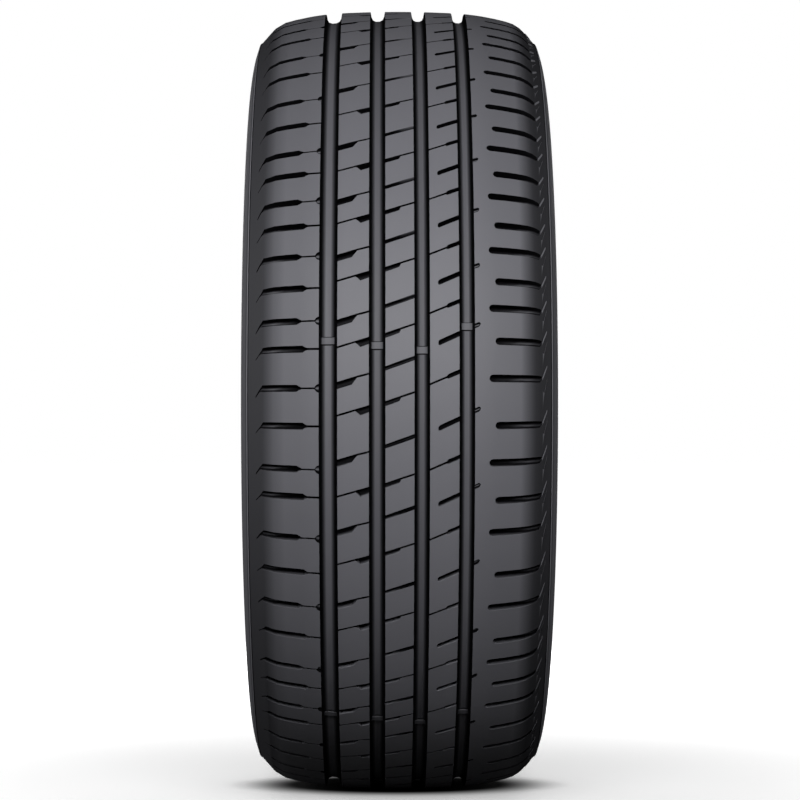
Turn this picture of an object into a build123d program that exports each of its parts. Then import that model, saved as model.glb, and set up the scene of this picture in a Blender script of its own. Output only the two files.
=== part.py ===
"""Car tyre, unmounted: one moulded ring with four grooves, cut shoulders and cut ribs.

The frame has its origin at the wheel's centre, +Y along the axle and +Z up. The tyre stands
upright, as it would be wheeled, and its front faces +X. Sizes are in millimetres.
"""

import math
import os

from build123d import *

# Overall sizes.
OUTER_DIAMETER = 643.3
SECTION_WIDTH = 236.0
BEAD_BORE = 435.6

# Tread contour: a flat arc over the crown, then a rounder one outside it.
CROWN_ARC_RADIUS = 900.0
CROWN_HALF_WIDTH = 46.0
OUTER_ARC_RADIUS = 200.0

# Shoulder: distances in from the widest point, and drops below the crown.
SHOULDER_TOP_INSET = 30.0
SHOULDER_CORNER_INSET = 14.5
SHOULDER_CORNER_DROP = 16.6
TREAD_EDGE_INSET = 5.2
TREAD_EDGE_DROP = 27.1

# Sidewall and bead: distances in from the widest point, and heights above the bead seat.
SIDEWALL_STEPS = 2
PROTECTOR_INSET = 2.5
PROTECTOR_HEIGHT = 28.0
FLANGE_INSET = 15.5
FLANGE_HEIGHT = 16.0
BEAD_WIDTH = 17.5
TOE_HEIGHT = 4.0

# Inside: the wall at its thinnest, and the rubber and belts under the crown.
WALL_THICKNESS = 10.5
THIN_WALL_HEIGHT = 42.0
LINER_DEPTH = 16.0
LINER_INSET = 25.0

# Round grooves: centre across the tread and width at the top.
GROOVES = [(-52.1, 13.0), (-16.5, 11.6), (16.15, 10.9), (48.75, 10.9)]
GROOVE_DEPTH = 8.0
GROOVE_LEAN = 1.2

# Blocks round the tread: four lengths, and a stagger that makes every second block longer. Each
# half of the tread has its own sequence, from the ground up the front and down the back.
BLOCK_LENGTHS = {"S": 22.8, "M": 26.8, "L": 29.8, "X": 33.0}
STAGGER = 2.0
LEFT_BLOCKS = "MSLXLLLLSSSLLMLLSLLMSSMSSSSMLXLXLLMLLMSSMSSMMLLSSMSSLMLMSSSMLLMSSMSSLLMSMLMS"
RIGHT_BLOCKS = "SMSLLXXLMSSLLXMMLXLSSSSSSSSSSSMSSSMLLMSMXLLMSLMLMMLMMLLSLMLMLMSLMLXLMSLMSMLS"
RIGHT_SHIFT = 28.8

# Shoulder slots, of two kinds by turns: where the inner end lies, and the slot's section.
LEFT_SLOT_ENDS = {"A": 71.0, "B": 67.3}
RIGHT_SLOT_ENDS = {"A": 69.5, "B": 65.2}
SLOT_WIDTH = 4.4
SLOT_POINT = 3.0
SLOT_DEPTH = 6.5
SLOT_LEAN_DEG = 9.5
SLOT_OUTER_INSET = 10.0

# Rib cuts: how far each row lies up the tread from the shoulder slots, and the outline of one
# cut, across from the groove's edge and up. The middle rib's are from its own centre.
NOTCH_DEPTH = 5.5
MIDDLE_SLOT_DEPTH = 2.5
CUT_HEIGHT = 12.0
RIB2_LONG_UP = -24.7
RIB2_LONG_NOTCH = [(-2.0, -0.6), (15.0, 4.6), (11.2, -0.7), (-2.0, -4.8)]
RIB2_SHORT_UP = -19.6
RIB2_SHORT_NOTCH = [(-9.4, 3.2), (2.0, 7.8), (2.0, 2.2)]
RIB3_UP = -14.7
RIB3_SLOT = [(-13.0, -2.2), (13.0, 7.4), (13.0, 10.2), (-13.0, 0.6)]
RIB4_LONG_UP = 5.3
RIB4_LONG_SLOT = [(2.0, -0.7), (2.0, 2.7), (-14.0, -4.9), (-14.0, -8.3)]
RIB4_SHORT_UP = -4.6
RIB4_SHORT_SLOT = [(2.0, 9.1), (2.0, 11.9), (-8.1, 7.5), (-8.1, 4.7)]

tread_radius = OUTER_DIAMETER / 2
bead_radius = BEAD_BORE / 2
half_width = SECTION_WIDTH / 2


def crown_drop(across):
    """How far the tread lies below the crown: the two arcs meet with one slope."""
    outside = max(abs(across) - CROWN_HALF_WIDTH, 0)
    inside = abs(across) - outside
    slope = inside / CROWN_ARC_RADIUS
    return inside * slope / 2 + outside * slope + outside**2 / (2 * OUTER_ARC_RADIUS)


def groove_points(centre, width):
    """Section of one groove from left to right: two leaning walls and a flat floor."""
    left = centre - width / 2
    right = centre + width / 2
    left_top = tread_radius - crown_drop(left)
    right_top = tread_radius - crown_drop(right)
    return [
        (left, left_top),
        (left + GROOVE_LEAN, left_top - GROOVE_DEPTH),
        (right - GROOVE_LEAN, right_top - GROOVE_DEPTH),
        (right, right_top),
    ]


def sidewall_points():
    """Right sidewall from the tread's edge down: a parabola through the widest point."""
    top = tread_radius - TREAD_EDGE_DROP
    bottom = bead_radius + PROTECTOR_HEIGHT
    above = math.sqrt(TREAD_EDGE_INSET)
    below = math.sqrt(PROTECTOR_INSET)
    points = []
    for step in range(SIDEWALL_STEPS + 1):
        share = step / SIDEWALL_STEPS
        inset = (above - share * (above + below)) ** 2
        points.append((half_width - inset, top + share * (bottom - top)))
    return points


def slot_angles(blocks, shift):
    """Angles of the A and B slots, in degrees: shares of one turn from the middle of block one."""
    lengths = []
    for index, block in enumerate(blocks):
        lengths.append(BLOCK_LENGTHS[block] + (STAGGER if index % 2 else -STAGGER))
    angles = {"A": [], "B": []}
    travelled = shift - lengths[0] / 2
    for index, length in enumerate(lengths):
        travelled += length
        angles["B" if index % 2 else "A"].append(360 * travelled / sum(lengths) - 90)
    return angles


def tread_plane(angle, across, depth, up=0, lean=0):
    """Plane below the tread: x runs across it, y up round it, and lean tips it to the right."""
    turn = math.radians(angle) + up / tread_radius
    out = Vector(math.cos(turn), 0, math.sin(turn))
    floor = tread_radius - crown_drop(across) - depth
    place = out * floor + Vector(0, across, 0)
    return Plane(origin=place, x_dir=(0, 1, 0), z_dir=out).rotated((0, lean, 0))


left_angles = slot_angles(LEFT_BLOCKS, 0)
right_angles = slot_angles(RIGHT_BLOCKS, RIGHT_SHIFT)

# Section: up the left side, over the tread, down the right side and back along the inside.
shoulder_top = half_width - SHOULDER_TOP_INSET
flange = half_width - FLANGE_INSET
right_side = [
    (shoulder_top, tread_radius - crown_drop(shoulder_top)),
    (half_width - SHOULDER_CORNER_INSET, tread_radius - SHOULDER_CORNER_DROP),
    *sidewall_points(),
    (flange, bead_radius + FLANGE_HEIGHT),
    (flange, bead_radius - TOE_HEIGHT),
]
right_inside = [
    (flange - BEAD_WIDTH, bead_radius - TOE_HEIGHT),
    (flange - BEAD_WIDTH, bead_radius + TOE_HEIGHT),
    (half_width - WALL_THICKNESS, bead_radius + THIN_WALL_HEIGHT),
    (half_width - LINER_INSET, tread_radius - LINER_DEPTH),
]
section = [(-across, radius) for across, radius in reversed(right_side)]
for centre, width in GROOVES:
    section += groove_points(centre, width)
section += right_side + right_inside
section += [(-across, radius) for across, radius in reversed(right_inside)]

# Corners of the ring: each left block is straight between its two slots.
corners = []
for angle in sorted(left_angles["A"] + left_angles["B"]):
    turn = math.radians(angle)
    corners.append(Vector(tread_radius * math.cos(turn), 0, tread_radius * math.sin(turn)))
ground = (corners[0] + corners[-1]) / 2

with BuildPart() as tyre:
    # The section is carried round the blocks with mitred corners.
    with BuildLine() as ring:
        Polyline(ground, *corners, ground)
    ring_start = Plane(origin=ground, x_dir=(0, 1, 0), z_dir=corners[0] - ground)
    with BuildSketch(ring_start):
        Polygon(*[(across, tread_radius - radius) for across, radius in section], align=None)
    sweep(path=ring.wire(), transition=Transition.RIGHT)

    # Both bead seats are one true bore.
    with BuildSketch(Plane.XZ):
        Circle(bead_radius)
    extrude(amount=SECTION_WIDTH, both=True, mode=Mode.SUBTRACT)

    # Shoulder slots run out over the shoulder. The left ones have a pointed inner end.
    half = SLOT_WIDTH / 2
    for kind in ("A", "B"):
        end = -LEFT_SLOT_ENDS[kind]
        reach = SLOT_OUTER_INSET - half_width - end
        with BuildSketch(*[tread_plane(a, end, SLOT_DEPTH, lean=-SLOT_LEAN_DEG) for a in left_angles[kind]]):
            Polygon((0, 0), (-SLOT_POINT, half), (reach, half), (reach, -half), (-SLOT_POINT, -half), align=None)
        extrude(amount=TREAD_EDGE_DROP, mode=Mode.SUBTRACT)
    for kind in ("A", "B"):
        end = RIGHT_SLOT_ENDS[kind]
        reach = half_width - SLOT_OUTER_INSET - end
        with BuildSketch(*[tread_plane(a, end, SLOT_DEPTH, lean=SLOT_LEAN_DEG) for a in right_angles[kind]]):
            Polygon((0, half), (reach, half), (reach, -half), (0, -half), align=None)
        extrude(amount=TREAD_EDGE_DROP, mode=Mode.SUBTRACT)

    # Second rib: long notches from its left groove, and short ones into its right groove.
    edge = GROOVES[0][0] + GROOVES[0][1] / 2
    with BuildSketch(*[tread_plane(a, edge, NOTCH_DEPTH, RIB2_LONG_UP) for a in left_angles["B"]]):
        Polygon(*RIB2_LONG_NOTCH, align=None)
    extrude(amount=CUT_HEIGHT, mode=Mode.SUBTRACT)
    edge = GROOVES[1][0] - GROOVES[1][1] / 2
    with BuildSketch(*[tread_plane(a, edge, NOTCH_DEPTH, RIB2_SHORT_UP) for a in left_angles["A"]]):
        Polygon(*RIB2_SHORT_NOTCH, align=None)
    extrude(amount=CUT_HEIGHT, mode=Mode.SUBTRACT)

    # Middle rib: shallow slanting slots right across it.
    with BuildSketch(*[tread_plane(a, 0, MIDDLE_SLOT_DEPTH, RIB3_UP) for a in left_angles["B"]]):
        Polygon(*RIB3_SLOT, align=None)
    extrude(amount=CUT_HEIGHT, mode=Mode.SUBTRACT)

    # Fourth rib: long and short blind slots from its right groove.
    edge = GROOVES[3][0] - GROOVES[3][1] / 2
    with BuildSketch(*[tread_plane(a, edge, NOTCH_DEPTH, RIB4_LONG_UP) for a in right_angles["A"]]):
        Polygon(*RIB4_LONG_SLOT, align=None)
    extrude(amount=CUT_HEIGHT, mode=Mode.SUBTRACT)
    with BuildSketch(*[tread_plane(a, edge, NOTCH_DEPTH, RIB4_SHORT_UP) for a in right_angles["B"]]):
        Polygon(*RIB4_SHORT_SLOT, align=None)
    extrude(amount=CUT_HEIGHT, mode=Mode.SUBTRACT)

tyre.part.label = "tyre"
os.makedirs("parts", exist_ok=True)
export_step(tyre.part, "parts/tyre.step")
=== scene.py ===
# %% [markdown]
# A car tyre off its rim, standing on its tread: one moulded ring of rubber. The packed CAD model is the
# frame, and its ring of flat blocks gives the place and the size. The tread could be sculpted, or cut
# out of a lathed ring with booleans, but hundreds of booleans are slow and leave ragged shading. Here
# the whole tyre is one grid of points worked out in numpy arrays: it is truly round, every edge of the
# tread lies on a row of the grid, and it comes out the same each time.

import bpy
import numpy as np
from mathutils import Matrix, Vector


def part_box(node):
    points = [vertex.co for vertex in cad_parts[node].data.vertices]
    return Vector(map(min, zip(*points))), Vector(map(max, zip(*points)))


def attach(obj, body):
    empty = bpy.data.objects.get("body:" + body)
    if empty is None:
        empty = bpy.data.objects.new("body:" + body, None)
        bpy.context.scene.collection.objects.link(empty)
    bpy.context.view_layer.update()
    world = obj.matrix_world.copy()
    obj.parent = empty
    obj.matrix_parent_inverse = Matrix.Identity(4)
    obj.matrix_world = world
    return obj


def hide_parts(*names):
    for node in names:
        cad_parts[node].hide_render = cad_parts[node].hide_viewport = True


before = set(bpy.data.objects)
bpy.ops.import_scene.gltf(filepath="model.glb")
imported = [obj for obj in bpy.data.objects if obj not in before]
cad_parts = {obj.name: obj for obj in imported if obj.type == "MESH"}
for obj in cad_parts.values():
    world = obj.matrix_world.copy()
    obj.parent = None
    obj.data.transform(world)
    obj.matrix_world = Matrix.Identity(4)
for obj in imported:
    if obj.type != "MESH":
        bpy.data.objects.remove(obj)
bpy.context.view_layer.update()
low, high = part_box("tyre")
print("frame nodes", sorted(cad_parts), "lowest", tuple(low), "highest", tuple(high))

# %% [markdown]
# The contour is the tread's outline from side to side: a flat crown, a rounder outer crown, a tight
# shoulder and a straight buttress. A drawn curve could be turned into a ring by the Screw modifier. A
# function is used instead, because every cut is measured down from the surface that it is cut in. All
# of the geometry is worked out in millimetres, and turned into metres once, when the mesh is made.

# %% Contour of the tread
TREAD_RADIUS = 321.65
CROWN_ARC = 900.0
CROWN_EDGE = 46.0
CROWN_SLOPE = CROWN_EDGE / CROWN_ARC
OUTER_ARC = 200.0
OUTER_EDGE = 90.0
SHOULDER_ARC = 25.0
BUTTRESS_ANGLE = np.radians(48.0)
TREAD_EDGE = 110.8


def crown_radius(across):
    """R less a parabola over the crown, and outside it also less a line of its slope and a parabola."""
    outside = np.clip(across - CROWN_EDGE, 0, None)
    crown = np.minimum(across, CROWN_EDGE)
    outer_drop = outside**2 / (2 * OUTER_ARC)
    return TREAD_RADIUS - crown**2 / (2 * CROWN_ARC) - outside * CROWN_SLOPE - outer_drop


def contour_radius(across):
    """Radius of the uncut tread: the crown, then a circle that goes on with its slope, then a line."""
    a = np.abs(across)
    start = np.arctan(CROWN_SLOPE + (OUTER_EDGE - CROWN_EDGE) / OUTER_ARC)
    centre = OUTER_EDGE - SHOULDER_ARC * np.sin(start)
    height = crown_radius(OUTER_EDGE) - SHOULDER_ARC * np.cos(start)
    end = centre + SHOULDER_ARC * np.sin(BUTTRESS_ANGLE)
    on_arc = np.clip(a, OUTER_EDGE, end) - centre
    shoulder = height + np.sqrt(SHOULDER_ARC**2 - on_arc**2)
    shoulder = shoulder - np.clip(a - end, 0, None) * np.tan(BUTTRESS_ANGLE)
    return np.where(a <= OUTER_EDGE, crown_radius(a), shoulder)


contour_places = np.array([0, OUTER_EDGE, TREAD_EDGE])
print("radius at the crown, the shoulder and the tread's edge", contour_radius(contour_places).round(1))

# %% [markdown]
# A tyre's blocks aren't all of one length: four lengths are mixed so that the tread hums less. An Array
# modifier repeats only one length, so the places of the cuts are worked out as running sums instead. The
# letters give the order of the blocks up the front from the ground, for the left and the right half of
# the tread. Slots of two kinds, here 0 and 1, take turns, and every second block is a little longer.

# %% Places of the cuts round the tread
BLOCK_LENGTHS = {"S": 22.8, "M": 26.8, "L": 29.8, "X": 33.0}
STAGGER = 2.0
LEFT_BLOCKS = "MSLXLLLLSSSLLMLLSLLMSSMSSSSMLXLXLLMLLMSSMSSMMLLSSMSSLMLMSSSMLLMSSMSSLLMSMLMS"
RIGHT_BLOCKS = "SMSLLXXLMSSLLXMMLXLSSSSSSSSSSSMSSSMLLMSMXLLMSLMLMMLMMLLSLMLMLMSLMLXLMSLMSMLS"
RIGHT_SHIFT = 28.8
PITCHES = len(LEFT_BLOCKS)
TURN = 2 * np.pi * TREAD_RADIUS

kind = np.arange(PITCHES) % 2


def slot_places(blocks, shift):
    """Running sums of the blocks' lengths, scaled to one turn, from the ground a quarter turn down."""
    lengths = np.array([BLOCK_LENGTHS[letter] for letter in blocks])
    lengths = lengths + np.where(kind == 1, STAGGER, -STAGGER)
    ends = np.cumsum(lengths) - lengths[0] / 2 + shift
    return ends * TURN / lengths.sum() - TURN / 4


left_places = slot_places(LEFT_BLOCKS, 0)
right_places = slot_places(RIGHT_BLOCKS, RIGHT_SHIFT)
for half, places in (("left", left_places), ("right", right_places)):
    print(half, "blocks from the ground up", np.diff(places).round(1)[:6])

# %% [markdown]
# Each band of the tread has one cut to a block, of two kinds by turns. A cut could be a solid that a
# boolean takes away. Here it is told by a few stations across the band: where its line runs, how wide it
# is below and above the line, and how deep. Depth 0 leaves the surface whole, so a slot, the thin sipe
# that follows it and the pocket at its end are all one cut. Both kinds have the same number of stations,
# because the stations become the columns of the grid.
#
# A left slot starts in a hook over the shoulder, gets deeper inwards and ends in a point. A sipe runs on
# to the groove, and every second one opens into a half-round pocket there.

# %% Cuts of the left shoulder
def even_cut(places, half, depth):
    """Stations of one section: the line at 0, and one half width and depth at every place across."""
    return [(across, 0.0, half, half, depth) for across in places]


# Each station is: across, line, width below, width above, depth.
LEFT_EDGE = [
    (-109.2, -6.5, 0.4, 0.4, 0.0),
    (-107.0, -7.0, 0.4, 0.4, 0.0),
    (-105.2, -6.7, 0.3, 0.3, 0.0),
]
LEFT_SHOULDER = np.array([
    [
        *LEFT_EDGE,
        (-104.6, -5.8, 0.6, 0.6, 2.2),
        (-102.4, -2.2, 0.8, 0.8, 2.6),
        (-101.6, -1.3, 1.1, 1.1, 2.4),
        (-99.8, 0.0, 2.45, 2.45, 2.4),
        (-92.0, 0.0, 2.45, 2.45, 3.9),
        (-84.0, 0.0, 2.45, 2.45, 5.4),
        (-75.0, 0.0, 2.45, 2.45, 6.5),
        (-72.8, 0.0, 1.2, 1.2, 6.2),
        (-71.2, 0.0, 0.4, 0.4, 5.0),
        (-66.0, 0.0, 0.45, 0.45, 4.5),
        (-61.8, 0.0, 0.45, 0.45, 4.5),
        (-61.6, 0.0, 0.7, 0.7, 1.8),
        (-60.9, 0.0, 1.9, 1.9, 1.8),
        (-59.9, 0.0, 2.7, 2.7, 1.8),
        (-58.9, 0.0, 3.0, 3.0, 1.9),
        (-58.6, 0.0, 3.1, 3.1, 2.2),
    ],
    [
        *LEFT_EDGE,
        (-104.4, -5.6, 0.3, 0.3, 1.0),
        (-102.4, -2.8, 0.35, 0.35, 1.2),
        (-101.0, -1.2, 1.0, 0.8, 2.0),
        (-99.6, 0.0, 2.45, 2.2, 2.4),
        (-92.0, 0.0, 2.45, 2.45, 3.9),
        (-84.0, 0.0, 2.45, 2.45, 5.4),
        (-70.4, 0.0, 2.45, 2.45, 6.5),
        (-68.8, 0.0, 1.3, 1.3, 6.2),
        (-67.3, 0.0, 0.6, 0.6, 5.0),
        *even_cut((-64.5, -61.8, -61.6, -60.9, -59.9, -58.9, -58.6), 0.6, 4.5),
    ],
])
print("left shoulder: kinds, stations, values", LEFT_SHOULDER.shape)

# %% [markdown]
# The three ribs have slanting cuts. On the second rib a long notch opens into the left groove and a short
# one into the right groove, and a sipe joins each to the other side. The middle rib has a slot right
# across, and then a notch that goes on as a sipe. Into the fourth rib a long blind slot comes from the
# right, and then a short one that a sipe joins to the left groove. Such lines could be drawn as curves
# and projected on the tread, but as stations they follow its curve by themselves.

# %% Cuts of the three ribs
SECOND_RIB = np.array([
    [
        (-45.6, 0.12, 4.9, 0.2, 5.5),
        (-45.3, 0.21, 4.9, 0.2, 5.5),
        (-40.0, 1.82, 4.9, 0.2, 5.5),
        (-34.8, 3.45, 4.9, 0.2, 5.5),
        (-32.9, 4.03, 2.8, 0.2, 5.2),
        (-31.0, 4.60, 0.9, 0.2, 4.8),
        (-26.0, 5.90, 1.0, 0.2, 4.5),
        (-22.6, 6.82, 1.0, 0.2, 4.5),
        (-22.3, 6.90, 1.0, 0.2, 4.5),
    ],
    [
        (-45.6, 0.12, 1.0, 0.2, 4.5),
        (-45.3, 0.21, 1.0, 0.2, 4.5),
        (-39.0, 2.10, 1.0, 0.2, 4.5),
        (-32.3, 4.10, 0.9, 0.2, 4.8),
        (-30.5, 4.66, 2.9, 0.2, 5.2),
        (-28.7, 5.18, 5.2, 0.2, 5.5),
        (-25.5, 6.10, 5.0, 0.2, 5.5),
        (-22.6, 6.98, 4.8, 0.2, 5.5),
        (-22.3, 7.07, 4.8, 0.2, 5.5),
    ],
])
MIDDLE_RIB = np.array([
    [
        (-10.7, 0.07, 1.5, 1.5, 3.9),
        (-10.4, 0.18, 1.5, 1.5, 3.9),
        (-5.0, 2.17, 1.5, 1.5, 3.9),
        (-0.4, 3.85, 1.5, 1.5, 3.9),
        (0.8, 4.29, 1.5, 1.5, 3.8),
        (5.5, 6.02, 1.5, 1.5, 3.4),
        (10.4, 7.82, 1.5, 1.5, 3.0),
        (10.7, 7.93, 1.5, 1.5, 3.0),
    ],
    [
        (-10.7, 0.07, 3.3, 0.2, 3.9),
        (-10.4, 0.18, 3.3, 0.2, 3.9),
        (-5.0, 2.03, 3.3, 0.2, 3.9),
        (-0.4, 3.61, 3.1, 0.2, 3.9),
        (0.8, 4.02, 0.95, 0.2, 3.9),
        (5.5, 5.64, 1.0, 0.2, 3.9),
        (10.4, 7.32, 1.0, 0.2, 3.9),
        (10.7, 7.43, 1.0, 0.2, 3.9),
    ],
])
FOURTH_RIB = np.array([
    [
        (21.6, -10.2, 0.3, 0.3, 0.0),
        (21.9, -10.1, 0.3, 0.3, 0.0),
        (25.0, -8.6, 0.3, 0.3, 0.0),
        (27.7, -7.3, 0.2, 0.2, 0.0),
        (27.9, -7.2, 1.2, 1.2, 5.0),
        (28.9, -6.8, 1.9, 1.9, 5.5),
        (36.0, -3.5, 1.9, 1.9, 5.5),
        (43.0, -0.25, 1.9, 1.9, 5.5),
        (43.3, -0.1, 1.9, 1.9, 5.5),
    ],
    [
        (21.6, 0.1, 0.62, 0.62, 4.5),
        (21.9, 0.25, 0.62, 0.62, 4.5),
        (28.0, 2.9, 0.62, 0.62, 4.5),
        (34.1, 5.5, 0.62, 0.62, 4.5),
        (34.4, 5.6, 1.1, 1.1, 5.0),
        (35.2, 6.0, 1.6, 1.6, 5.5),
        (39.0, 7.6, 1.6, 1.6, 5.5),
        (43.0, 9.35, 1.6, 1.6, 5.5),
        (43.3, 9.5, 1.6, 1.6, 5.5),
    ],
])
print("ribs: stations", [rib.shape[1] for rib in (SECOND_RIB, MIDDLE_RIB, FOURTH_RIB)])

# %% [markdown]
# A right slot starts with a round end and gets shallower outwards. Beyond it a short raised stroke leans
# up over the shoulder, so there the depth is below zero. At every second slot a small notch opens from
# the groove. Strokes and notches could be pieces of their own, but as stations of the same cut they need
# no joint in the rubber.

# %% Cuts of the right shoulder
RIGHT_EDGE = [
    (88.0, 0.0, 2.65, 2.65, 4.8),
    (94.0, 0.0, 2.65, 2.65, 3.4),
    (99.0, 0.0, 2.65, 2.65, 2.5),
    (102.0, 0.0, 2.5, 2.5, 2.0),
    (103.2, 1.0, 1.0, 1.2, 1.6),
    (103.9, 0.7, 1.1, 1.1, -0.7),
    (105.2, 4.2, 1.1, 1.1, -0.7),
    (107.2, 9.6, 1.0, 1.0, -0.6),
    (107.9, 11.0, 0.3, 0.3, 0.0),
    (109.6, 9.0, 0.4, 0.4, 0.0),
]
RIGHT_SHOULDER = np.array([
    [
        (54.2, 11.0, 1.6, 1.6, 1.6),
        (54.5, 11.1, 1.6, 1.6, 1.6),
        (57.2, 12.2, 1.6, 1.6, 1.6),
        (58.0, 12.5, 1.0, 1.0, 1.6),
        (58.5, 12.6, 0.2, 0.2, 0.0),
        (63.0, 6.0, 0.3, 0.3, 0.0),
        (69.2, 0.0, 0.3, 0.3, 0.0),
        (69.5, 0.0, 1.1, 1.1, 5.0),
        (70.3, 0.0, 2.2, 2.2, 6.2),
        (72.0, 0.0, 2.65, 2.65, 6.5),
        (80.0, 0.0, 2.65, 2.65, 6.0),
        *RIGHT_EDGE,
    ],
    [
        *even_cut((54.2, 54.5, 57.3, 58.1, 58.5, 61.5), 0.4, 0.0),
        (64.8, 0.0, 0.3, 0.3, 0.0),
        (65.1, 0.0, 1.1, 1.1, 5.0),
        (65.9, 0.0, 2.2, 2.2, 6.2),
        (67.6, 0.0, 2.65, 2.65, 6.5),
        (78.0, 0.0, 2.65, 2.65, 6.0),
        *RIGHT_EDGE,
    ],
])
print("right shoulder: kinds, stations, values", RIGHT_SHOULDER.shape)

# %% [markdown]
# Each point of the tread also gets a blackness, which the rubber's material reads later. It is painted
# shade: the tread turns a little darker towards the outer blocks and much darker over the shoulders, the
# right one more than the left. It could be painted by hand in Vertex Paint, but a formula of the place
# across does it evenly, all the way round. Blackness is told as the eye sees it: 0.5 looks half as light.

# %% Painted shade of the uncut tread
BLOCK_PAINTED_SHADE = 0.07
BLOCK_FROM = 40.0
BLOCK_TO = 72.0
LEFT_PAINTED_SHADE = 0.46
RIGHT_PAINTED_SHADE = 0.56
SIDE_FROM = 87.0
SIDE_TO = 101.5


def painted_side_shade(across):
    """Painted shade of the surface: a slight ramp to the outer blocks, then an eased one over the shoulder.
    """
    a = np.abs(across)
    block = BLOCK_PAINTED_SHADE * np.clip((a - BLOCK_FROM) / (BLOCK_TO - BLOCK_FROM), 0, 1)
    ramp = np.clip((a - SIDE_FROM) / (SIDE_TO - SIDE_FROM), 0, 1)
    side = np.where(across < 0, LEFT_PAINTED_SHADE, RIGHT_PAINTED_SHADE)
    return block + (side - block) * ramp * ramp * (3 - 2 * ramp)


print("blackness at the crown, the shoulder and the tread's edge", painted_side_shade(contour_places).round(2))

# %% [markdown]
# The grid's rows are bundled round each cut: seven rows make its two worn edges, its walls and its floor.
# A Bevel modifier could wear the edges too, but it would have to find them first, and here they are known.
# The rows of a band follow its own lines, so every edge stays sharp with few faces. This is done for all
# blocks at once: the arrays have the axes block, row and station.
#
# The cuts are painted black as shade, and painted grey where light would get in. A wall may be painted
# grey at its edge and turn black towards its foot, but in a sipe and round a pocket it is painted black all
# over. A wide cut's floor has some painted light, grey in the middle. A shoulder slot's floor is painted
# grey where it gets shallow, between two black lines of painted shade, and its upper wall leans more there.
# A pocket's floor is painted grey inside a black outline of painted shade.

# %% Rows of a cut
CUT_ROWS = 7
EDGE_WIDTH = 0.22
EDGE_DROP = 0.18
# Widths at which a cut is a sipe and a slot, and depths at which a slot's floor is painted black as shade
# and grey as light.
SIPE_WIDTH = 1.3
SLOT_WIDTH = 2.8
LIGHT_DEPTH = 7.4
LIGHTEST_DEPTH = 3.4
POCKET_REACH = 62.0
# How far a wall leans, at most as a share of the cut's width, and what is added beside a grey floor.
STEEP_LEAN = 0.15
LEAN_LIMIT = 0.3
LOW_LEAN = 0.2
HIGH_LEAN = 1.4
POCKET_LEAN = 0.6
# Share of a wall's painted light that is left at its foot.
WALL_LIGHT = 0.25


def cut_rows(stations, places, lower, upper, floor, light):
    """Rows at line - below and line + above, with a chamfer outside them and a leaning wall inside.

    The lower and the upper wall are each told by the painted shade at the edge and a slope, by which a wall
    painted grey as light leans. Floor is how grey a wide cut is painted in the middle, and light how grey
    its floor is painted where it is shallow, both as painted light. Returns place round the tread, place
    across it, depth and blackness.
    """
    across, line, below, above, depth = np.moveaxis(stations[kind], 2, 0)[:, :, None, :]
    line = line + places[:, None, None]
    width = below + above
    cut = np.clip(depth, 0, 1)
    thin = np.clip((SLOT_WIDTH - width) / (SLOT_WIDTH - SIPE_WIDTH), 0, 1)
    shallow = np.clip((LIGHT_DEPTH - depth) / (LIGHT_DEPTH - LIGHTEST_DEPTH), 0, 1)
    light = light * shallow * (1 - thin) * cut
    pocket = light * (np.abs(across) < POCKET_REACH)
    edge_shade = []
    foot_shade = []
    lean = []
    for (painted_tone, slope), slot_lean in ((lower, LOW_LEAN), (upper, HIGH_LEAN)):
        painted_tone = np.broadcast_to(painted_tone, stations.shape[:2])[kind][:, None, :]
        painted_tone = np.maximum(painted_tone, np.maximum(thin, pocket))
        edge_shade.append(painted_tone * cut)
        foot_shade.append((1 - WALL_LIGHT * (1 - painted_tone) * (1 - light)) * cut)
        extra = slot_lean * (light - pocket) + POCKET_LEAN * pocket
        lean.append(np.minimum(STEEP_LEAN + slope * (1 - painted_tone) + extra, LEAN_LIMIT * width))
    rows = np.concatenate([
        line - below - EDGE_WIDTH,
        line - below,
        line - below + lean[0],
        line + (above - below + lean[0] - lean[1]) / 2,
        line + above - lean[1],
        line + above,
        line + above + EDGE_WIDTH,
    ], axis=1)
    edge = EDGE_DROP * cut
    flat = 0 * cut
    deep = np.concatenate([flat, edge, depth, depth, depth, edge, flat], axis=1)
    inside = cut - light - floor * (1 - thin) * cut
    tone_and_painted_shade = [flat, edge_shade[0], foot_shade[0], inside, foot_shade[1], edge_shade[1], flat]
    # Raised strokes are left without the shoulder's painted shade, so they show light as a painted
    # highlight.
    raised_painted_highlight = np.concatenate([flat, *[depth < 0] * (CUT_ROWS - 2), flat], axis=1)
    across = np.repeat(across, CUT_ROWS, axis=1)
    tone_and_painted_shade = np.maximum(np.concatenate(tone_and_painted_shade, axis=1), painted_side_shade(across) * (1 - raised_painted_highlight))
    return rows, across, deep, tone_and_painted_shade


print("rows to a cut", CUT_ROWS)

# %% [markdown]
# Three more rows carry the block on to the next cut. One would do for a plain block. With three, the
# middle one can stand up as a stroke: the right shoulder has such a stroke free on each block. Loose
# strips of rubber would do as well, but these come out of the same grid.

# %% Rows of a block, and of a whole band
BLOCK_ROWS = 3
ROWS = CUT_ROWS + BLOCK_ROWS
# Each mark on a block is: share of the way to the next cut, half width as such a share, depth.
PLAIN_BLOCK = (0.5, 0.25, 0.0)
# Each wall is: painted shade at the edge, slope.
PAINTED_SHADED_WALL = (1.0, 0.0)


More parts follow.
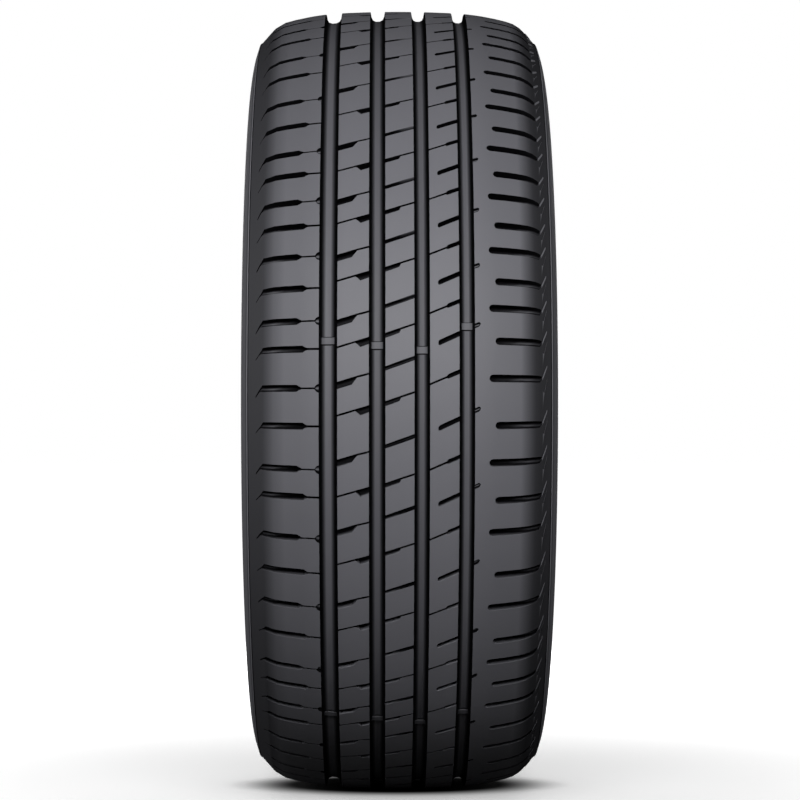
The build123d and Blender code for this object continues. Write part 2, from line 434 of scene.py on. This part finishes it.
def block_rows(rows, across, marks):
    """Rows at a mark's share of the way from a cut's last row to the next cut's first, and beside it."""
    middle, half, mark_depth = np.array(marks).T[:, None, None, :]
    step = middle + half * np.array([-1, 0, 1])[None, :, None]
    next_rows = np.concatenate([rows[1:, :1], rows[:1, :1] + TURN])
    next_across = np.concatenate([across[1:, :1], across[:1, :1]])
    block = rows[:, -1:] * (1 - step) + next_rows * step
    block_across = across[:, -1:] * (1 - step) + next_across * step
    crest = np.array([0, 1, 0])[None, :, None] * mark_depth + 0 * block
    # A raised mark is left without the painted shade, so it shows light as a painted highlight.
    return block, block_across, crest, painted_side_shade(block_across) * (crest >= 0)


def band_grid(stations, places, lower=PAINTED_SHADED_WALL, upper=PAINTED_SHADED_WALL, floor=0.0, light=0.0, marks=None):
    """Rows of the cuts and of the blocks by turns, with each array reshaped to (rows, stations)."""
    cuts = cut_rows(stations, places, lower, upper, floor, light)
    blocks = block_rows(*cuts[:2], marks or [PLAIN_BLOCK] * stations.shape[1])
    shape = (PITCHES * ROWS, stations.shape[1])
    return [np.concatenate(pair, axis=1).reshape(shape) for pair in zip(cuts, blocks)]


print("rows to a block", ROWS)

# %% [markdown]
# The tread has five bands: two shoulders and three ribs. The cuts of the second and the middle rib keep
# their distance from the next left slot, and those of the fourth rib from the right slots. Their lower
# walls are painted grey as light. In a slot of the middle rib the painted light changes sides on the way
# across, from the lower wall to the upper one, which leans there. All this could be five meshes, but as
# columns of one grid the bands join without a seam.

# %% The five bands
SLOT_PAINTED_WALL = (0.3, 0.0)
PAINTED_LIT_EDGE = 0.1
PAINTED_LIT_WALL = (PAINTED_LIT_EDGE, 0.0)
SECOND_RIB_DOWN = np.array([24.7, 19.6])
MIDDLE_RIB_DOWN = np.array([14.7, 9.8])
FOURTH_RIB_UP = np.array([5.3, -4.6])
# Share by which the painted light on a middle cut's wall has changed sides, for each kind and station.
MIDDLE_TWIST = np.array([[0.0, 0.0, 0.1, 0.4, 0.6, 0.9, 1.0, 1.0], [0.0] * 8])
TWIST_EDGE = 0.15
TWIST_SLOPE = 1.5
FREE_STROKE = [(0.57, 0.03, -0.5), (0.71, 0.03, -0.5), (0.76, 0.03, 0.0)]
STROKE_STATION = 17


def after(places):
    """The place that follows each one, with the first coming round again after the last."""
    return np.append(places[1:], places[0] + TURN)


left_next = after(left_places)
left_shoulder = band_grid(LEFT_SHOULDER, left_places, SLOT_PAINTED_WALL, light=1.0)
second_rib = band_grid(SECOND_RIB, left_next - SECOND_RIB_DOWN[kind], PAINTED_LIT_WALL, floor=0.3)
middle_lower = (PAINTED_LIT_EDGE + (1 - PAINTED_LIT_EDGE) * MIDDLE_TWIST, 0.0)
middle_upper = (1 - (1 - TWIST_EDGE) * MIDDLE_TWIST, TWIST_SLOPE)
middle_places = left_next - MIDDLE_RIB_DOWN[kind]
middle_rib = band_grid(MIDDLE_RIB, middle_places, middle_lower, middle_upper, floor=0.35)
fourth_rib = band_grid(FOURTH_RIB, right_places + FOURTH_RIB_UP[kind], PAINTED_LIT_WALL, floor=0.2)
marks = [PLAIN_BLOCK] * RIGHT_SHOULDER.shape[1]
marks[STROKE_STATION:STROKE_STATION + len(FREE_STROKE)] = FREE_STROKE
right_shoulder = band_grid(RIGHT_SHOULDER, right_places, SLOT_PAINTED_WALL, light=1.0, marks=marks)
bands = [left_shoulder, second_rib, middle_rib, fourth_rib, right_shoulder]
print("rows round the tread", left_shoulder[0].shape[0], "columns", [band[0].shape[1] for band in bands])

# %% [markdown]
# Wear bars are low bridges in the tread's grooves: once the tread is worn down to them, the tyre is done.
# They could be small boxes set on the grooves' floors. Here the bundle of floor rows that lies nearest is
# drawn to the bar's place and lifted, so that the bar is moulded in one with the floor.

# %% Wear bars
GROOVE_DEPTH = 8.0
BAR_HEIGHT = 1.7
BAR_ROWS = np.array([-3.4, -2.9, -2.5, 0.0, 2.5, 2.9, 3.4])
BAR_LIFT = np.array([0.0, 0.0, 1.0, 1.0, 1.0, 0.0, 0.0])
BAR_TOP = slice(2, 5)
BAR_FEET = [1, 5]
BAR_PAINTED_SHADE = np.array([1.0, 0.3, 0.12, 0.12, 0.3, 1.0])
BAR_REACH = 9.0
FRONT_BARS = [(44.2, -279.6), (40.6, -284.0), (37.1, -289.1), (55.1, -276.5)]
HIDDEN_BARS = [0.35 * TURN, 0.51 * TURN, 0.67 * TURN]


def nearest_pitch(places, target):
    """Index of the block whose floor bundle lies nearest to a place, and the place within its reach."""
    gap = (places - target + TURN / 2) % TURN - TURN / 2
    index = int(np.argmin(np.abs(gap)))
    return index, places[index] - np.clip(gap[index], -BAR_REACH, BAR_REACH)


def raise_bars(floor, depth, tone_and_painted_shade, bars):
    """Moves the bundle of floor rows nearest to each bar to its place, and lifts it by the bar's height."""
    bar_depth = GROOVE_DEPTH - BAR_HEIGHT * BAR_LIFT[:, None]
    for bar in bars:
        index, place = nearest_pitch(floor[:, CUT_ROWS // 2].mean(axis=1), bar)
        floor[index, :CUT_ROWS] = (place + BAR_ROWS)[:, None]
        depth[index, :CUT_ROWS] = np.minimum(depth[index, :CUT_ROWS], bar_depth)
        # Painted shade: the bar is black at its feet and at the groove's walls, and lighter on its top.
        tone_and_painted_shade[index, BAR_TOP] = BAR_PAINTED_SHADE
        tone_and_painted_shade[index, BAR_FEET] = 1


print("wear bars to a groove", len(FRONT_BARS[0]) + len(HIDDEN_BARS))

# %% [markdown]
# Four grooves with a round bottom run right round the tyre, between the bands. A groove could be part of
# a lathed contour, but the rows of the bands on its two sides don't line up. So its walls keep the rows
# of the band beside them, and the rows slide across on the smooth floor, where it doesn't show.

# %% Grooves
WALL_FOOT = 0.7
WALL_FOOT_DEPTH = 4.2
WALL_SHARE = 0.2
FLOOR_STEPS = np.array([0.0, 0.45, 0.8]) * np.pi / 2
# Painted shade across a groove's floor: black at the walls and clear in the middle, and a slight painted
# shade over each groove's floor.
FLOOR_PAINTED_SHADE = np.array([1.0, 0.75, 0.0, 0.0, 0.75, 1.0])
FLOOR_PAINTED_SHADES = [0.10, 0.16, 0.18, 0.15]


def groove_grid(left, right, painted_tone, bars):
    """Floor of half an ellipse: rows near a wall are the wall's, and those between a share of both."""
    left_rows, left_across = left[0][:, -1:], left[1][:, -1:]
    right_rows, right_across = right[0][:, :1], right[1][:, :1]
    width = right_across - left_across
    turn = np.concatenate([FLOOR_STEPS, np.pi - FLOOR_STEPS[::-1]])
    floor_across = left_across + width / 2 - (width / 2 - WALL_FOOT) * np.cos(turn)
    share = (floor_across - left_across) / width
    share = np.where(share < WALL_SHARE, 0, np.where(share > 1 - WALL_SHARE, 1, share))
    floor = (left_rows * (1 - share) + right_rows * share).reshape(PITCHES, ROWS, -1)
    round_depth = WALL_FOOT_DEPTH + (GROOVE_DEPTH - WALL_FOOT_DEPTH) * np.sin(turn)
    depth = np.broadcast_to(round_depth, floor.shape).copy()
    tone_and_painted_shade = np.broadcast_to(np.maximum(FLOOR_PAINTED_SHADE, painted_tone), floor.shape).copy()
    raise_bars(floor, depth, tone_and_painted_shade, bars)
    step = (np.arange(1, BLOCK_ROWS + 1) / (BLOCK_ROWS + 1))[None, :, None]
    next_rows = np.concatenate([floor[1:, :1], floor[:1, :1] + TURN])
    floor[:, CUT_ROWS:] = floor[:, CUT_ROWS - 1:CUT_ROWS] * (1 - step) + next_rows * step
    shape = (PITCHES * ROWS, len(turn))
    return floor.reshape(shape), floor_across, depth.reshape(shape), tone_and_painted_shade.reshape(shape)


def soften_edges(band, first, last):
    """Lowers a band's outermost stations beside a groove by the worn edge's drop, and paints them dark as
    shade.
    """
    depth, tone_and_painted_shade = band[2:]
    for station in [0] * first + [-1] * last:
        depth[:, station] = np.maximum(depth[:, station], EDGE_DROP)
        tone_and_painted_shade[:, station] = 1


for band in bands:
    soften_edges(band, band is not left_shoulder, band is not right_shoulder)
grooves = [
    groove_grid(left, right, painted_tone, [*bars, *HIDDEN_BARS])
    for left, right, painted_tone, bars in zip(bands[:-1], bands[1:], FLOOR_PAINTED_SHADES, FRONT_BARS)
]
print("groove columns", [groove[0].shape[1] for groove in grooves])

# %% [markdown]
# Outside the last station the tread's edge has no cuts, so its rows are spread evenly over each block. The
# tread is then one array of points: the radius is the contour less the depth, and the place round the
# tread becomes an angle up from the front. A Simple Deform modifier could bend a flat tread to a ring
# as well, but the formula keeps the radius exact.

# %% The whole tread
EDGE_ROWS_DOWN = 5.0
even = (np.arange(ROWS) + 0.5) / ROWS


def edge_column(places, side):
    """One column on the tread's edge: equal steps from each slot to the next, set a little down."""
    rows = (places[:, None] * (1 - even) + after(places)[:, None] * even).reshape(-1, 1)
    rows = rows - EDGE_ROWS_DOWN
    across = np.full_like(rows, side * TREAD_EDGE)
    return rows, across, np.zeros_like(rows), painted_side_shade(across)


def wheel_points(rows, across, radius):
    """Points (x, y, z) at an angle rows / R up from the front, at a radius, and across along y."""
    angle = rows / TREAD_RADIUS
    return np.stack([radius * np.cos(angle), across, radius * np.sin(angle)], axis=-1)


columns = [edge_column(left_places, -1), bands[0]]
for groove, band in zip(grooves, bands[1:]):
    columns += [groove, band]
columns.append(edge_column(right_places, 1))
whole = [np.concatenate(part, axis=1) for part in zip(*columns)]
tread_rows, tread_across, tread_depth, tread_painted_shade = whole
tread = wheel_points(tread_rows, tread_across, contour_radius(tread_across) - tread_depth)
print("tread grid", tread.shape, "steps back", int((np.diff(tread_rows, axis=0) <= 0).sum()))

# %% [markdown]
# The sidewalls, beads and lining are a plain profile carried round the wheel, as the Screw modifier does
# it. It is worked out in arrays here, so that it can share its edges with the tread. A few corner points
# are rounded by cutting corners: each edge keeps the points at a quarter and three quarters of its
# length, and the polygon turns smoother. The profile ends on the tread's two edges, where the halves of
# the mould leave a thin rib beside a narrow step: those corners stay sharp. The step is painted dark as
# shade, and the rib left unshaded, so it shows as a light line, a painted highlight. Shallow rings run
# round the sidewalls.

# %% Profile of the sidewall, bead and lining
# Each point of the rib is: across, radius, painted shade.
EDGE_RIB = np.array([
    (110.9, 295.7, 0.8),
    (111.2, 295.4, 0.8),
    (111.5, 296.0, 0.0),
    (112.0, 295.6, 0.0),
    (112.4, 294.3, 0.4),
])
WALL_BLACK = 0.15
# Each ring of the sidewall is: radius, height, half width. A groove has a height below zero.
SIDE_RINGS = np.array([
    (277.0, -0.7, 1.0),
    (257.0, -0.7, 1.0),
    (245.2, 0.6, 0.6),
    (242.8, 0.6, 0.6),
])
RING_STEPS = np.array([-1.0, -0.5, 0.0, 0.5, 1.0])
BEAD_TOP = 233.0
# Each corner of the profile is: across, radius.
RIGHT_PROFILE = np.array([
    (113.5, 291.0),
    (115.2, 285.5),
    (116.8, 277.0),
    (117.6, 268.0),
    (117.7, 256.0),
    (116.7, 251.4),
    (118.1, 249.4),
    (117.1, 246.4),
    (113.4, 241.6),
    (106.5, 238.0),
    (102.5, 232.0),
    (102.5, 219.2),
    (101.0, 217.8),
    (87.0, 217.8),
    (85.0, 219.0),
    (86.5, 224.0),
    (99.5, 244.5),
    (107.5, 257.0),
    (107.0, 272.0),
    (101.5, 295.5),
    (92.0, 304.2),
    (70.0, 305.2),
    (20.0, 305.4),
])


def cut_corners(points):
    """Both ends, and points at a quarter and three quarters of every edge in place of the corners."""
    a, b = points[:-1], points[1:]
    middle = np.stack([a * 0.75 + b * 0.25, a * 0.25 + b * 0.75], axis=1).reshape(-1, 2)
    return np.concatenate([points[:1], middle, points[-1:]])


def ring_relief(radius):
    """Sum of round ridges and grooves: height times one less the squared distance from the middle."""
    distance = (radius[:, None] - SIDE_RINGS[:, 0]) / SIDE_RINGS[:, 2]
    return (SIDE_RINGS[:, 1] * np.clip(1 - distance**2, 0, None)).sum(axis=1)


right_side = cut_corners(RIGHT_PROFILE)
outer = right_side[:np.argmin(right_side[:, 1] >= BEAD_TOP)]
ring_radii = (SIDE_RINGS[:, :1] + SIDE_RINGS[:, 2:] * RING_STEPS).ravel()
wall_radii = np.sort(np.append(outer[:, 1], ring_radii))[::-1]
wall_across = np.interp(wall_radii, outer[::-1, 1], outer[::-1, 0]) + ring_relief(wall_radii)
right_side = np.concatenate([np.column_stack([wall_across, wall_radii]), right_side[len(outer):]])
smooth = np.concatenate([right_side * [-1, 1], right_side[::-1]])
smooth = np.column_stack([smooth, np.full(len(smooth), WALL_BLACK)])
profile = np.concatenate([EDGE_RIB * [-1, 1, 1], smooth, EDGE_RIB[::-1]])
print("profile points", len(profile))

# %% [markdown]
# The carcass is the smooth rest of the tyre, so it needs fewer rows than the tread: its grid takes every
# fifth row. Its rows could stand evenly, but then they would meet no row of the tread. So they start on
# the rows of the left edge, and slide to those of the right edge on their way round the inside.

# %% The carcass grid
CARCASS_STEP = 5
left_edge = tread_rows[::CARCASS_STEP, :1]
right_edge = tread_rows[::CARCASS_STEP, -1:]
share = np.linspace(0, 1, len(profile))[None, :]
carcass_rows = left_edge * (1 - share) + right_edge * share
carcass = wheel_points(carcass_rows, np.broadcast_to(profile[:, 0], carcass_rows.shape), profile[:, 1])
print("carcass grid", carcass.shape)

# %% [markdown]
# The tyre's skin has no open edge, so the two grids are joined. Merge by Distance could do that where
# points lie on each other, but the tread has five rows to one of the carcass. Faces are index arrays
# here: a grid's quads come from each point and its three neighbours, with the last row joined to the
# first. Between the fine tread and the coarser carcass each face has one carcass edge and five tread
# edges, so the skin is closed without extra points. Its lowest points are pressed flat on the ground.

# %% Join the two grids in one closed skin
MM = 0.001
GROUND = -low.z / MM


def grid_quads(index):
    """Four corners of every cell: (row, col), (row, col + 1), (row + 1, col + 1), (row + 1, col)."""
    ahead = np.roll(index, -1, axis=0)
    return np.stack([index[:, :-1], index[:, 1:], ahead[:, 1:], ahead[:, :-1]], axis=-1).reshape(-1, 4)


def seam_faces(fine, coarse, step):
    """Faces between a fine line of points and a coarse one: step + 1 fine corners, then two coarse."""
    fine_index = fine.reshape(-1, step)
    fine_index = np.concatenate([fine_index, np.roll(fine_index[:, :1], -1, axis=0)], axis=1)
    return np.concatenate([fine_index, np.roll(coarse, -1)[:, None], coarse[:, None]], axis=1)


tread_index = np.arange(tread_rows.size).reshape(tread_rows.shape)
carcass_index = np.arange(carcass_rows.size).reshape(carcass_rows.shape) + tread_rows.size
quads = np.concatenate([grid_quads(tread_index), grid_quads(carcass_index)[:, ::-1]])
left_seam = seam_faces(tread_index[:, 0], carcass_index[:, 0], CARCASS_STEP)
right_seam = seam_faces(tread_index[:, -1], carcass_index[:, -1], CARCASS_STEP)[:, ::-1]
seams = np.concatenate([left_seam, right_seam])
points = np.concatenate([tread.reshape(-1, 3), carcass.reshape(-1, 3)])
points[:, 2] = np.maximum(points[:, 2], -GROUND)
triangles = 2 * len(quads) + len(seams) * (seams.shape[1] - 2)
print("quads", len(quads), "seam faces", len(seams), "triangles", triangles)

# %% [markdown] The arrays become one mesh. from_pydata could take them as lists, but foreach_set copies
# whole arrays and is much quicker with so many points. Edges past an angle stay sharp, and the Weighted
# Normal modifier gives the large faces their say, so that the blocks look flat beside their small worn
# edges.

# %% Make the mesh
SHARP_ANGLE = np.radians(28)
NORMAL_WEIGHT = 90
corners = np.concatenate([quads.ravel(), seams.ravel()])
starts = np.concatenate([
    np.arange(len(quads)) * quads.shape[1],
    quads.size + np.arange(len(seams)) * seams.shape[1],
])
mesh = bpy.data.meshes.new("tyre_skin")
mesh.vertices.add(len(points))
mesh.vertices.foreach_set("co", (points * MM).astype(np.float32).ravel())
mesh.loops.add(len(corners))
mesh.loops.foreach_set("vertex_index", corners.astype(np.int32))
mesh.polygons.add(len(starts))
mesh.polygons.foreach_set("loop_start", starts.astype(np.int32))
mesh.update(calc_edges=True)
mesh.validate()
mesh.shade_smooth()
mesh.set_sharp_from_angle(angle=SHARP_ANGLE)
# The blackness is painted shade and painted light on the tread, and on the carcass its plain tone with a
# painted dark step at the tread's edges.
carcass_tone_and_shade = np.broadcast_to(profile[:, 2], carcass_rows.shape)
tone_and_painted_shade = mesh.attributes.new("tone_and_painted_shade", "FLOAT", "POINT")
tone_and_painted_shade.data.foreach_set("value", np.append(tread_painted_shade.ravel(), carcass_tone_and_shade.ravel()))
tyre = bpy.data.objects.new("tyre_skin", mesh)
bpy.context.scene.collection.objects.link(tyre)
normals = tyre.modifiers.new("even_normals", "WEIGHTED_NORMAL")
normals.keep_sharp = True
normals.weight = NORMAL_WEIGHT
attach(tyre, "root")
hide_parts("tyre")
print("mesh", len(mesh.vertices), "points", len(mesh.polygons), "faces")

# %% [markdown]
# A material is a tree of nodes. Its maths could be built node by node, but it reads better as plain
# arithmetic. This small class wraps a socket: its operators add Math nodes, and one method adds any
# other node with its settings and inputs.

# %% A socket that does arithmetic
class Wire:
    """One output socket of a node tree."""

    def __init__(self, tree, socket=None):
        self.tree = tree
        self.socket = socket

    def add(self, node_type, settings=None, inputs=None, output=0):
        """A new node with its settings and with a value or a wire in each input; gives one output."""
        node = self.tree.nodes.new(node_type)
        for name, value in (settings or {}).items():
            setattr(node, name, value)
        for name, value in (inputs or {}).items():
            if isinstance(value, Wire):
                self.tree.links.new(value.socket, node.inputs[name])
            else:
                node.inputs[name].default_value = value
        return Wire(self.tree, node.outputs[output])

    def maths(self, operation, first, second):
        """A Math node on two values."""
        return self.add("ShaderNodeMath", {"operation": operation}, {0: first, 1: second})

    def __add__(self, other):
        return self.maths("ADD", self, other)

    def __radd__(self, other):
        return self.maths("ADD", other, self)

    def __sub__(self, other):
        return self.maths("SUBTRACT", self, other)

    def __rsub__(self, other):
        return self.maths("SUBTRACT", other, self)

    def __mul__(self, other):
        return self.maths("MULTIPLY", self, other)

    def __rmul__(self, other):
        return self.maths("MULTIPLY", other, self)


def new_material(name):
    """An empty material, and a wire to build on."""
    material = bpy.data.materials.new(name)
    material.use_nodes = True
    material.node_tree.nodes.clear()
    return material, Wire(material.node_tree)


def show(wire, shader):
    """Joins a shader to the surface of a new output node."""
    output = wire.tree.nodes.new("ShaderNodeOutputMaterial")
    wire.tree.links.new(shader.socket, output.inputs["Surface"])


print("a wire can", [name for name in vars(Wire) if name.endswith(("add__", "sub__", "mul__"))])

# %% [markdown]
# The rubber of the tops is a dusty grey, slightly blue, with a broad sheen. A photograph of rubber could
# be laid on it, but noise has no seams and needs no picture. A cloudy noise moves its colour and its gloss
# a little, and a fine noise gives the grain of the mould. A second, black and dull shader is mixed in by
# the mesh's blackness: painted shade in the cuts and over the shoulders, and the sidewalls' plain tone.

# %% Tyre rubber
RUBBER_DARK = (0.140, 0.140, 0.157, 1.0)
RUBBER_LIGHT = (0.157, 0.157, 0.176, 1.0)
TONE_AND_SHADE_BLACK = (0.0025, 0.0025, 0.003, 1.0)
EYE_GAMMA = 2.2


def make_rubber():
    """Mix of a grey, clouded and grained rubber with a dark one for painted shade, by 1 - (1 - blackness) ^
    gamma.
    """
    material, wire = new_material("tyre_rubber")
    place = wire.add("ShaderNodeTexCoord", output="Object")
    cloud = wire.add("ShaderNodeTexNoise", None, {"Vector": place, "Scale": 14.0, "Detail": 4.0})
    grain = wire.add("ShaderNodeTexNoise", None, {"Vector": place, "Scale": 900.0, "Detail": 2.0})
    colour = wire.add(
        "ShaderNodeMix",
        {"data_type": "RGBA"},
        {0: cloud, 6: RUBBER_DARK, 7: RUBBER_LIGHT},
        output=2,
    )
    bump = wire.add("ShaderNodeBump", None, {"Strength": 0.12, "Distance": 0.0004, "Height": grain})
    grey = wire.add("ShaderNodeBsdfPrincipled", None, {
        "Base Color": colour,
        "Roughness": 0.58 + 0.06 * cloud,
        "Normal": bump,
        "Specular IOR Level": 0.5,
    })
    dark = wire.add("ShaderNodeBsdfPrincipled", None, {
        "Base Color": TONE_AND_SHADE_BLACK,
        "Roughness": 0.9,
        "Specular IOR Level": 0.03,
    })
    tone_and_painted_shade = wire.add("ShaderNodeAttribute", {"attribute_name": "tone_and_painted_shade"}, output="Fac")
    share = 1.0 - wire.maths("POWER", 1.0 - tone_and_painted_shade, EYE_GAMMA)
    show(wire, wire.add("ShaderNodeMixShader", None, {0: share, 1: grey, 2: dark}))
    return material


mesh.materials.append(make_rubber())
print("material", mesh.materials[0].name)

# %% [markdown]
# The floor is a pale studio floor. A plain white one would need much light to look white, and would throw
# it up under the tread. So this one is pale only where the camera sees it, and dark to other rays. It
# shows the tyre's shadow, has a painted contact shadow where the tyre rests on it, and turns to plain
# white further away.

# %% Floor
FLOOR_HALF = 12.0
WHITE_FROM = 0.35
WHITE_TO = 0.9
PAINTED_SHADOW_SHAPE = (2.0, 1.0, 0.0)
PAINTED_SHADOW_FROM = 0.085
PAINTED_SHADOW_TO = 0.15
UNSEEN_GREY = (0.06, 0.06, 0.06, 1.0)


def make_floor():
    """Diffuse and glow for camera rays, both lowered under the tyre as a painted contact shadow; a dark
    diffuse for all others.
    """
    material, wire = new_material("floor_paint")
    place = wire.add("ShaderNodeTexCoord", output="Object")

    def ramp(vector, start, end):
        """Smooth step from 0 to 1 as the length of a vector goes from start to end."""
        length = wire.add("ShaderNodeVectorMath", {"operation": "LENGTH"}, {0: vector}, output="Value")
        return wire.add("ShaderNodeMapRange", {"interpolation_type": "SMOOTHSTEP"}, {
            "Value": length, "From Min": start, "From Max": end,
        })

    shadow_patch = wire.add("ShaderNodeVectorMath", {"operation": "MULTIPLY"}, {0: place, 1: PAINTED_SHADOW_SHAPE})
    outside_painted_shadow = ramp(shadow_patch, PAINTED_SHADOW_FROM, PAINTED_SHADOW_TO)
    far = ramp(place, WHITE_FROM, WHITE_TO)
    glow = wire.add("ShaderNodeEmission", None, {"Color": 0.4 * outside_painted_shadow + 0.6 * far})
    paint = wire.add("ShaderNodeBsdfDiffuse", None, {"Color": 0.05 + 0.85 * outside_painted_shadow})
    seen = wire.add("ShaderNodeAddShader", None, {0: glow, 1: paint})
    unseen = wire.add("ShaderNodeBsdfDiffuse", None, {"Color": UNSEEN_GREY})
    rays = wire.add("ShaderNodeLightPath", output="Is Camera Ray")
    show(wire, wire.add("ShaderNodeMixShader", None, {0: rays, 1: unseen, 2: seen}))
    return material


floor_corners = np.array([(-1, -1), (1, -1), (1, 1), (-1, 1)]) * FLOOR_HALF
floor_mesh = bpy.data.meshes.new("floor")
floor_mesh.from_pydata([(x, y, low.z) for x, y in floor_corners], [], [(0, 1, 2, 3)])
floor_mesh.materials.append(make_floor())
floor = bpy.data.objects.new("floor", floor_mesh)
bpy.context.scene.collection.objects.link(floor)
print("floor at", low.z)

# %% [markdown]
# The world is white for the camera and nearly dark for all other rays. A white world that lights the tyre
# as well would be simpler, but it would fill the cuts with light and flatten them.

# %% World
WORLD_LIGHT = 0.02
world = bpy.data.worlds.new("studio")
world.use_nodes = True
world.node_tree.nodes.clear()
sky = Wire(world.node_tree)
camera_ray = sky.add("ShaderNodeLightPath", output="Is Camera Ray")
background = sky.add("ShaderNodeBackground", None, {
    "Color": (1.0, 1.0, 1.0, 1.0),
    "Strength": WORLD_LIGHT + (1 - WORLD_LIGHT) * camera_ray,
})
world_output = world.node_tree.nodes.new("ShaderNodeOutputWorld")
world.node_tree.links.new(background.socket, world_output.inputs["Surface"])
bpy.context.scene.world = world
print("world light", WORLD_LIGHT)

# %% [markdown]
# Soft boxes light the tyre, as in a studio. One close in front, above the middle, gives the bright middle
# and the dark underside. Two far out at the sides light the shoulders and the sidewalls, and one behind
# and one on top serve the other views. Sun lamps would be simpler, but their light is equally strong
# everywhere, and here it has to fall off towards the bottom.

# %% Lamps
def add_lamp(name, place, size, power):
    """An area lamp at a place, facing the wheel's centre: its size is wide by tall, its power in watts."""
    data = bpy.data.lights.new(name, "AREA")
    data.shape = "RECTANGLE"
    data.size, data.size_y = size
    data.energy = power
    lamp = bpy.data.objects.new(name, data)
    lamp.location = place
    lamp.rotation_euler = (-Vector(place)).to_track_quat("-Z", "Y").to_euler()
    bpy.context.scene.collection.objects.link(lamp)
    print(name, "at", place, "with", power, "W")


add_lamp("front_lamp", (1.35, 0.0, 0.47), (0.8, 0.5), 14.3)
add_lamp("back_lamp", (-1.35, 0.0, 0.15), (1.1, 0.5), 11.0)
add_lamp("top_lamp", (0.0, 0.0, 2.6), (1.5, 1.5), 2.0)
add_lamp("left_lamp", (0.0, -2.5, 0.5), (1.2, 1.2), 24.0)
add_lamp("right_lamp", (0.0, 2.5, 0.5), (1.2, 1.2), 13.0)

# %% [markdown]
# The camera stands level with the wheel's centre, 2.34 m away, as the curve of the outline in the
# photograph shows. It could stand nearer with a wider lens, but then the tyre would bulge more than it
# does there. A small shift of the lens frames the tyre without turning the camera.

# %% Camera
CAMERA_DISTANCE = 2.3416
CAMERA_SIDE = -0.0126
camera_data = bpy.data.cameras.new("camera")
camera_data.sensor_width = 36.0
camera_data.lens = 126.0
camera_data.shift_x = 0.003
camera_data.shift_y = 0.00025
camera = bpy.data.objects.new("camera", camera_data)
camera.location = (CAMERA_DISTANCE, CAMERA_SIDE, 0.0)
camera.rotation_euler = (-camera.location).to_track_quat("-Z", "Y").to_euler()
bpy.context.scene.collection.objects.link(camera)
bpy.context.scene.camera = camera
bpy.context.scene.view_settings.view_transform = "Standard"
print("camera at", tuple(camera.location), "lens", camera_data.lens)

# %% [markdown] The skin has to be as large as the CAD model that it stands for.
